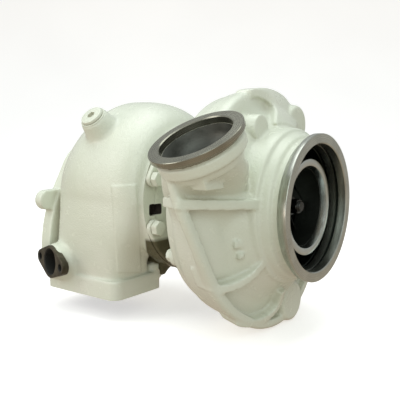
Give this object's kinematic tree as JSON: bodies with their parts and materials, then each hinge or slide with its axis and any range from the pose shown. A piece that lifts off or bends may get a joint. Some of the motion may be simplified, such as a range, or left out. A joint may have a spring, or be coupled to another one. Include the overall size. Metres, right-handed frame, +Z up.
{
  "type": "turbocharger",
  "caption": "Diesel turbocharger with a water-jacketed turbine housing, a clamped centre housing and a ribbed compressor scroll around a free-spinning rotor.",
  "frame": {"origin": "middle of the wall between the gas ports, on the lower face of the turbine inlet flange", "axes": "+X along the shaft towards the compressor inlet, +Z up, -Y towards the front side that carries the discharge pipe"},
  "size_m": [0.3753, 0.3513, 0.2924],
  "materials": {
    "cream_enamel": "glossy enamel over rough cast metal",
    "cast_alloy": "machined cast alloy",
    "heat_resisting_alloy": "heat-stained cast alloy",
    "machined_steel": "turned",
    "dark_steel": "oiled spring steel",
    "bearing_bronze": "turned",
    "black_rubber": "matte"
  },
  "bodies": {
    "housing": {"turbine_housing": "cream_enamel", "turbine_housing_plug": "cream_enamel", "plug_washer": "cream_enamel", "bearing_housing": "cream_enamel", "compressor_backplate": "cream_enamel", "compressor_housing": "cream_enamel", "turbine_clamp_plate_1": "cream_enamel", "turbine_clamp_plate_2": "cream_enamel", "turbine_clamp_plate_3": "cream_enamel", "turbine_clamp_plate_4": "cream_enamel", "turbine_clamp_bolt_1": "cream_enamel", "turbine_clamp_bolt_2": "cream_enamel", "turbine_clamp_bolt_3": "cream_enamel", "turbine_clamp_bolt_4": "cream_enamel", "turbine_clamp_bolt_5": "cream_enamel", "turbine_clamp_bolt_6": "cream_enamel", "turbine_clamp_bolt_7": "cream_enamel", "turbine_clamp_bolt_8": "cream_enamel", "compressor_bolt_1": "cream_enamel", "compressor_bolt_2": "cream_enamel", "compressor_bolt_3": "cream_enamel", "compressor_bolt_4": "cream_enamel", "compressor_bolt_5": "cream_enamel", "inlet_shroud_ring": "cast_alloy", "heat_shield": "heat_resisting_alloy", "bearing_spacer": "machined_steel", "oil_baffle": "machined_steel", "oil_seal_plate": "machined_steel", "turbine_piston_ring": "dark_steel", "compressor_piston_ring": "dark_steel", "bearing_retainer_turbine": "dark_steel", "bearing_retainer_compressor": "dark_steel", "seal_plate_retaining_ring": "dark_steel", "thrust_bearing": "bearing_bronze", "backplate_o_ring": "black_rubber", "seal_plate_o_ring": "black_rubber"},
    "rotor": {"turbine_wheel_shaft": "heat_resisting_alloy", "compressor_wheel": "cast_alloy", "compressor_nut": "dark_steel", "thrust_collar": "machined_steel", "oil_slinger": "machined_steel"},
    "turbine_end_bearing": {"journal_bearing_turbine": "bearing_bronze"},
    "compressor_end_bearing": {"journal_bearing_compressor": "bearing_bronze"}
  },
  "joints": [
    {"name": "rotor_spin", "type": "hinge", "parent": "housing", "child": "rotor", "pos_m": [0.119, 0.062, 0.125], "axis": [1, 0, 0], "continuous": true},
    {"name": "turbine_end_bearing_spin", "type": "hinge", "parent": "housing", "child": "turbine_end_bearing", "pos_m": [0.1159, 0.062, 0.125], "axis": [1, 0, 0], "continuous": true},
    {"name": "compressor_end_bearing_spin", "type": "hinge", "parent": "housing", "child": "compressor_end_bearing", "pos_m": [0.1397, 0.062, 0.125], "axis": [1, 0, 0], "continuous": true}
  ],
  "couplings": [
    {"joint": "turbine_end_bearing_spin", "follows": "rotor_spin", "ratio": 0.25},
    {"joint": "compressor_end_bearing_spin", "follows": "rotor_spin", "ratio": 0.25}
  ]
}
